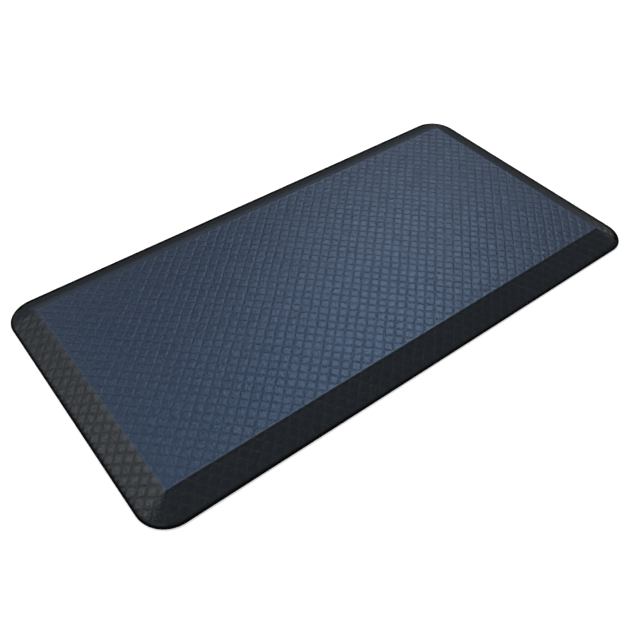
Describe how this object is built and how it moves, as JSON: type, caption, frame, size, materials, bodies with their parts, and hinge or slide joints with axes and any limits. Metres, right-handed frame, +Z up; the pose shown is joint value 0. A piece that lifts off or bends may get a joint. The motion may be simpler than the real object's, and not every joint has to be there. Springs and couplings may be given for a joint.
{
  "type": "anti-fatigue mat",
  "caption": "Rectangular cushioned standing mat with a slate-blue diamond-embossed top, bevelled charcoal borders on all sides and rounded corners.",
  "frame": {"origin": "on the floor, under the middle of the mat", "axes": "+X along the long side, +Y along the short side, +Z up out of the standing surface"},
  "size_m": [0.991, 0.508, 0.022],
  "materials": {
    "field_blue": "satin, embossed with small square diamond pads and a fine leathery grain",
    "border_charcoal": "satin, embossed like the field",
    "foam_grey": "matte cut foam, hidden inside",
    "base_black": "matte, moulded non-slip texture"
  },
  "bodies": {
    "root": {"field_skin": "field_blue", "border_skin": "border_charcoal", "foam_core": "foam_grey", "base_sheet": "base_black"}
  },
  "joints": []
}
